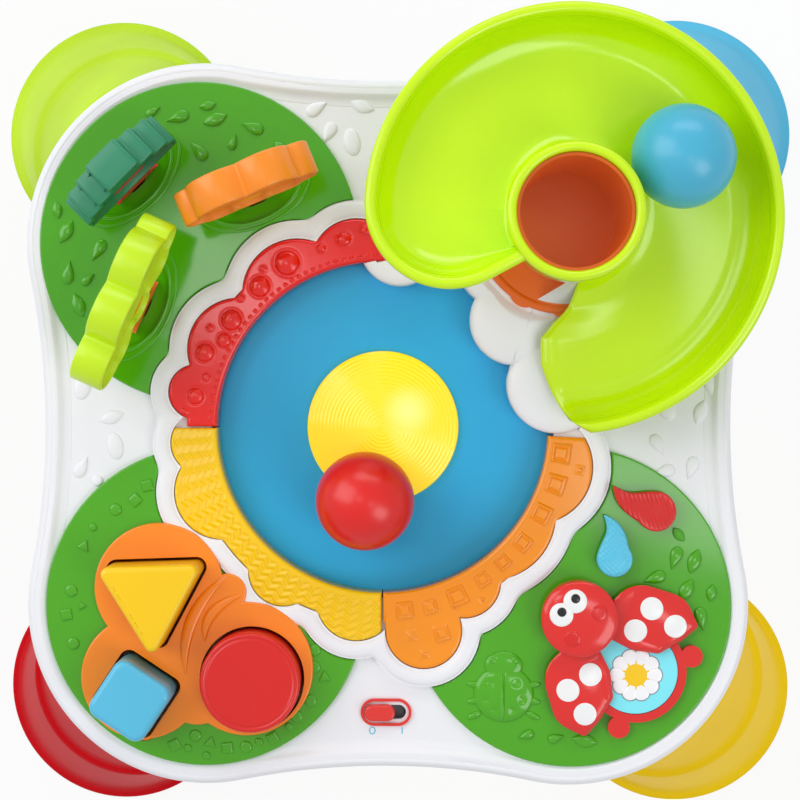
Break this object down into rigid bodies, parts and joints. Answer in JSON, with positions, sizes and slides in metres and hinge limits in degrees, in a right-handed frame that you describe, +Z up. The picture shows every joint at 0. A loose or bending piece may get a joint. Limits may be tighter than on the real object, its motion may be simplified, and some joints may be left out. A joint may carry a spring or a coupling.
{
  "type": "baby activity table",
  "caption": "Round-cornered play table on four splayed legs with a spiral ball slide, rocking trees, shape sorter, press keys, a lit ball well and a beetle with swinging wings.",
  "frame": {"origin": "on the floor under the middle of the four feet", "axes": "+Z up; +Y towards the side with the tower and the trees; +X towards the tower's side, right when the on/off switch is at the near side"},
  "size_m": [0.578, 0.578, 0.4308],
  "materials": {
    "white_shell": "satin white moulded plastic",
    "white_column": "white moulded plastic",
    "play_blue": "satin blue",
    "lens_yellow": "translucent yellow lens",
    "arc_red": "satin red",
    "arc_yellow": "satin yellow",
    "arc_orange": "satin orange",
    "slide_lime": "translucent lime",
    "chute_orange": "gloss orange",
    "panel_green": "gloss green",
    "sorter_orange": "gloss orange",
    "bug_red": "gloss red",
    "disc_cyan": "gloss pale blue",
    "flower_white": "gloss white",
    "eye_white": "gloss white",
    "pupil_black": "gloss black",
    "key_red": "gloss red",
    "key_blue": "gloss blue",
    "block_yellow": "satin yellow",
    "block_blue": "satin blue",
    "block_red": "satin red",
    "ball_blue": "gloss blue",
    "ball_red": "gloss red",
    "switch_red": "satin red",
    "crown_pine": "satin dark green",
    "crown_orange": "satin orange",
    "crown_lime": "satin lime",
    "trunk_red": "satin red",
    "trunk_yellow": "satin yellow",
    "trunk_orange": "satin orange",
    "leg_lime": "satin lime",
    "leg_blue": "satin light blue",
    "leg_red": "satin red",
    "leg_yellow": "satin yellow",
    "steel": "plain steel",
    "pad_rubber": "moulded rubber",
    "board_green": "circuit board",
    "lamp_clear": "clear lamp",
    "speaker_black": "black",
    "inner_grey": "grey",
    "cell_grey": "plain battery cells",
    "contact_metal": "plated"
  },
  "bodies": {
    "table": {"top_shell": "white_shell", "bottom_shell": "white_shell", "play_floor": "play_blue", "light_dome": "lens_yellow", "red_bubble_arc": "arc_red", "yellow_wave_arc": "arc_yellow", "orange_square_arc": "arc_orange", "tower_base": "white_shell", "tower_column": "white_column", "ball_chute": "chute_orange", "spiral_slide": "slide_lime", "tree_panel": "panel_green", "sorter_panel": "panel_green", "garden_panel": "panel_green", "sorter_plate": "sorter_orange", "ladybug_body": "bug_red", "daisy_disc": "disc_cyan", "daisy": "flower_white", "wing_pins": "steel", "switch_bezel": "switch_red", "switch_body": "inner_grey", "tree_pivot_pins": "steel", "key_board": "board_green", "head_pad": "pad_rubber", "red_drop_pad": "pad_rubber", "blue_drop_pad": "pad_rubber", "lamp_board": "board_green", "lamps": "lamp_clear", "battery_door": "white_shell", "battery_box": "inner_grey", "battery_cells": "cell_grey", "battery_contacts": "contact_metal", "circuit_board": "board_green", "speaker": "speaker_black", "screws": "steel", "leg_back_left": "leg_lime", "leg_back_right": "leg_blue", "leg_front_left": "leg_red", "leg_front_right": "leg_yellow"},
    "pine": {"pine_trunk": "trunk_red", "pine_crown": "crown_pine"},
    "orange_tree": {"orange_tree_trunk": "trunk_yellow", "orange_tree_crown": "crown_orange"},
    "lime_tree": {"lime_tree_trunk": "trunk_orange", "lime_tree_crown": "crown_lime"},
    "ladybug_head": {"ladybug_head": "bug_red", "ladybug_eyes": "eye_white", "ladybug_pupils": "pupil_black"},
    "wing_left": {"wing_left": "bug_red", "wing_spots_left": "eye_white"},
    "wing_right": {"wing_right": "bug_red", "wing_spots_right": "eye_white"},
    "red_drop_button": {"red_drop_button": "key_red"},
    "blue_drop_button": {"blue_drop_button": "key_blue"},
    "triangle_block": {"triangle_block": "block_yellow"},
    "square_block": {"square_block": "block_blue"},
    "round_block": {"round_block": "block_red"},
    "blue_ball": {"blue_ball": "ball_blue"},
    "red_ball": {"red_ball": "ball_red"},
    "switch_knob": {"switch_knob": "switch_red"}
  },
  "joints": [
    {"name": "pine_tilt", "type": "hinge", "parent": "table", "child": "pine", "pos_m": [-0.1403, 0.1356, 0.328], "axis": [0.7071, 0.7071, 0], "range_deg": [-6, 6], "stiffness_Nm_per_rad": 0.15},
    {"name": "orange_tree_tilt", "type": "hinge", "parent": "table", "child": "orange_tree", "pos_m": [-0.0732, 0.1272, 0.328], "axis": [0.9239, 0.3827, 0], "range_deg": [-6, 6], "stiffness_Nm_per_rad": 0.15},
    {"name": "lime_tree_tilt", "type": "hinge", "parent": "table", "child": "lime_tree", "pos_m": [-0.1369, 0.0665, 0.328], "axis": [0.4115, 0.9114, 0], "range_deg": [-6, 6], "stiffness_Nm_per_rad": 0.15},
    {"name": "wing_left_swing", "type": "hinge", "parent": "table", "child": "wing_left", "pos_m": [0.10878, -0.11741, 0.3465], "axis": [0, 0, 1], "range_deg": [-5, 24.5]},
    {"name": "wing_right_swing", "type": "hinge", "parent": "table", "child": "wing_right", "pos_m": [0.11734, -0.109, 0.3465], "axis": [0, 0, 1], "range_deg": [-24.5, 5]},
    {"name": "ladybug_head_press", "type": "slide", "parent": "table", "child": "ladybug_head", "axis": [0, 0, 1], "range_m": [-0.0025, 0], "stiffness_N_per_m": 300, "springref_m": 0.001, "deforming": ["head_pad"]},
    {"name": "red_drop_button_press", "type": "slide", "parent": "table", "child": "red_drop_button", "axis": [0, 0, 1], "range_m": [-0.0025, 0], "stiffness_N_per_m": 300, "springref_m": 0.001, "deforming": ["red_drop_pad"]},
    {"name": "blue_drop_button_press", "type": "slide", "parent": "table", "child": "blue_drop_button", "axis": [0, 0, 1], "range_m": [-0.0025, 0], "stiffness_N_per_m": 300, "springref_m": 0.001, "deforming": ["blue_drop_pad"]},
    {"name": "switch_slide", "type": "slide", "parent": "table", "child": "switch_knob", "axis": [1, 0, 0], "range_m": [0, 0.007]},
    {"name": "triangle_block_lift", "type": "slide", "parent": "table", "child": "triangle_block", "axis": [0, 0, 1], "range_m": [0, 0.06]},
    {"name": "square_block_lift", "type": "slide", "parent": "table", "child": "square_block", "axis": [0, 0, 1], "range_m": [0, 0.06]},
    {"name": "round_block_lift", "type": "slide", "parent": "table", "child": "round_block", "axis": [0, 0, 1], "range_m": [0, 0.06]},
    {"name": "blue_ball_lift", "type": "slide", "parent": "table", "child": "blue_ball", "axis": [0, 0, 1], "range_m": [0, 0.06]},
    {"name": "red_ball_lift", "type": "slide", "parent": "table", "child": "red_ball", "axis": [0, 0, 1], "range_m": [0, 0.06]}
  ]
}
